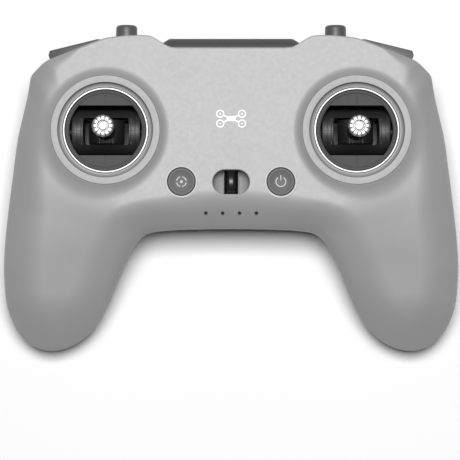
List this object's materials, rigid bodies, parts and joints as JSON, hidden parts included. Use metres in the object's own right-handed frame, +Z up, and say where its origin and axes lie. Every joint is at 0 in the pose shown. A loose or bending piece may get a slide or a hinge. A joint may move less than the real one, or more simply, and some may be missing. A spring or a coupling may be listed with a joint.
{
  "type": "radio transmitter controller",
  "caption": "Hand-held two-stick radio transmitter in a grey moulded housing with handles, face buttons, toggles, shoulder buttons and a tilt dial.",
  "frame": {"origin": "on the table under the middle of the controller's box, lying on its back", "axes": "+X to the user's right, +Y towards the antenna end, +Z up out of the face"},
  "size_m": [0.166, 0.119, 0.062],
  "materials": {
    "shell": "fine matte moulded",
    "rear_cover": "matte moulded",
    "antenna": "satin moulded",
    "grip": "matte textured",
    "port": "matte",
    "lanyard": "glossy",
    "bezel": "satin",
    "trim": "polished",
    "gimbal_cover": "satin",
    "gimbal_black": "satin",
    "mechanism": "smooth",
    "steel": "ground",
    "stick": "machined",
    "board": "solder mask",
    "chip": "moulded",
    "battery": "foil wrap",
    "button": "satin",
    "light": "frosted",
    "toggle": "satin"
  },
  "bodies": {
    "root": {"front_shell": "shell", "rear_shell": "shell", "rear_cover": "rear_cover", "antenna_cover": "antenna", "left_grip_pad": "grip", "right_grip_pad": "grip", "port_insert": "port", "usb_receptacle": "steel", "lanyard_bar": "lanyard", "button_bezels": "bezel", "led_light_guide": "light", "led_board": "board", "left_gimbal_bezel": "bezel", "right_gimbal_bezel": "bezel", "left_trim_ring": "trim", "right_trim_ring": "trim", "left_gimbal_cover": "gimbal_cover", "right_gimbal_cover": "gimbal_cover", "left_gimbal_frame": "gimbal_black", "right_gimbal_frame": "gimbal_black", "gimbal_bearings": "steel", "gimbal_sensor_boards": "board", "centring_arms": "mechanism", "centring_springs": "steel", "gimbal_screws": "steel", "main_board": "board", "board_chips": "chip", "board_shield": "steel", "battery_pack": "battery", "buzzer": "chip", "vibration_motor": "steel", "antenna_elements": "board", "toggle_bezels": "gimbal_black", "toggle_switches": "gimbal_black", "shoulder_brackets": "steel", "shoulder_pins": "steel", "start_switch_bracket": "steel", "tact_switches": "chip", "dial_encoder": "chip", "board_screws": "steel", "case_screws": "steel"},
    "left_barrel": {"left_barrel": "gimbal_black"},
    "left_stick": {"left_stick_hub": "gimbal_black", "left_stick_post": "steel", "left_stick_collar": "stick"},
    "left_tip": {"left_stick_tip": "stick"},
    "right_barrel": {"right_barrel": "gimbal_black"},
    "right_stick": {"right_stick_hub": "gimbal_black", "right_stick_post": "steel", "right_stick_collar": "stick"},
    "right_tip": {"right_stick_tip": "stick"},
    "function_button": {"function_button": "button"},
    "power_button": {"power_button": "button"},
    "left_toggle": {"left_toggle": "toggle"},
    "right_toggle": {"right_toggle": "toggle"},
    "left_shoulder_button": {"left_shoulder_button": "toggle"},
    "right_shoulder_button": {"right_shoulder_button": "toggle"},
    "tilt_dial": {"tilt_dial": "toggle"},
    "start_button": {"start_button": "button"}
  },
  "joints": [
    {"name": "left_stick_pitch", "type": "hinge", "parent": "root", "child": "left_barrel", "pos_m": [-0.045, 0.0196, 0.0298], "axis": [1, 0, 0], "range_deg": [-25, 25], "stiffness_Nm_per_rad": 0.037},
    {"name": "left_stick_roll", "type": "hinge", "parent": "left_barrel", "child": "left_stick", "pos_m": [-0.045, 0.0196, 0.0298], "axis": [0, 1, 0], "range_deg": [-25, 25], "stiffness_Nm_per_rad": 0.037},
    {"name": "left_stick_height", "type": "slide", "parent": "left_stick", "child": "left_tip", "axis": [0, 0, 1], "range_m": [0, 0.003]},
    {"name": "right_stick_pitch", "type": "hinge", "parent": "root", "child": "right_barrel", "pos_m": [0.045, 0.0196, 0.0298], "axis": [1, 0, 0], "range_deg": [-25, 25], "stiffness_Nm_per_rad": 0.037},
    {"name": "right_stick_roll", "type": "hinge", "parent": "right_barrel", "child": "right_stick", "pos_m": [0.045, 0.0196, 0.0298], "axis": [0, 1, 0], "range_deg": [-25, 25], "stiffness_Nm_per_rad": 0.037},
    {"name": "right_stick_height", "type": "slide", "parent": "right_stick", "child": "right_tip", "axis": [0, 0, 1], "range_m": [0, 0.003]},
    {"name": "function_button_press", "type": "slide", "parent": "root", "child": "function_button", "axis": [0, 0, -1], "range_m": [0, 0.0007], "stiffness_N_per_m": 1500},
    {"name": "power_button_press", "type": "slide", "parent": "root", "child": "power_button", "axis": [0, 0, -1], "range_m": [0, 0.0007], "stiffness_N_per_m": 1500},
    {"name": "left_toggle_throw", "type": "hinge", "parent": "root", "child": "left_toggle", "pos_m": [-0.0382, 0.0445, 0.022], "axis": [1, 0, 0], "range_deg": [-15, 15]},
    {"name": "right_toggle_throw", "type": "hinge", "parent": "root", "child": "right_toggle", "pos_m": [0.0382, 0.0445, 0.022], "axis": [1, 0, 0], "range_deg": [-15, 15]},
    {"name": "left_shoulder_press", "type": "hinge", "parent": "root", "child": "left_shoulder_button", "pos_m": [-0.04765, 0.04679, 0.023], "axis": [0, 0, 1], "range_deg": [0, 3.5], "stiffness_Nm_per_rad": 0.3},
    {"name": "right_shoulder_press", "type": "hinge", "parent": "root", "child": "right_shoulder_button", "pos_m": [0.04765, 0.04679, 0.023], "axis": [0, 0, -1], "range_deg": [0, 3.5], "stiffness_Nm_per_rad": 0.3},
    {"name": "tilt_dial_turn", "type": "hinge", "parent": "root", "child": "tilt_dial", "pos_m": [-0.05224, 0.04286, 0.0095], "axis": [0, 0, 1], "range_deg": [-20, 20], "stiffness_Nm_per_rad": 0.01},
    {"name": "start_button_press", "type": "slide", "parent": "root", "child": "start_button", "axis": [-0.3622, -0.9321, 0], "range_m": [0, 0.0006], "stiffness_N_per_m": 1500}
  ]
}
